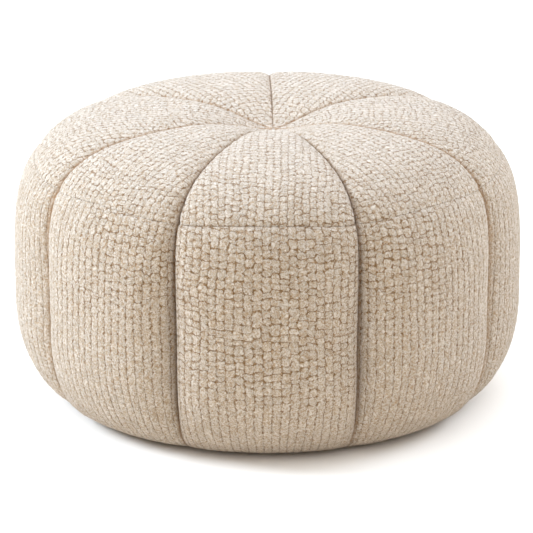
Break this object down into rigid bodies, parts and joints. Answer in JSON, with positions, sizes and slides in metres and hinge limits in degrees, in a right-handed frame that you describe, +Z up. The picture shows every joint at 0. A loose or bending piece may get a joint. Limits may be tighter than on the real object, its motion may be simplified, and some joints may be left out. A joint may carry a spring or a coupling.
{
  "type": "round boucle floor pouf",
  "caption": "Low round floor pouf with a soft crown, sewn from wedge and side panels of chunky cream boucle that meet at a dimple on top, with a flat base.",
  "frame": {"origin": "middle of the footprint, on the surface the pouf stands on", "axes": "+Z up through the pouf; -Y towards the front, where the middle gore faces the viewer; +X to the viewer's right"},
  "size_m": [0.6004, 0.5946, 0.3438],
  "materials": {
    "boucle": "chunky looped boucle, matt cream with sandy gaps between its nubs",
    "base_cloth": "plain matt sand-coloured cotton canvas"
  },
  "bodies": {
    "root": {"top_panel_front": "boucle", "top_panel_front_right": "boucle", "top_panel_right": "boucle", "top_panel_back_right": "boucle", "top_panel_back_left": "boucle", "top_panel_left": "boucle", "top_panel_front_left": "boucle", "side_panel_front": "boucle", "side_panel_front_right": "boucle", "side_panel_right": "boucle", "side_panel_back_right": "boucle", "side_panel_back_left": "boucle", "side_panel_left": "boucle", "side_panel_front_left": "boucle", "base_panel": "base_cloth"}
  },
  "joints": []
}
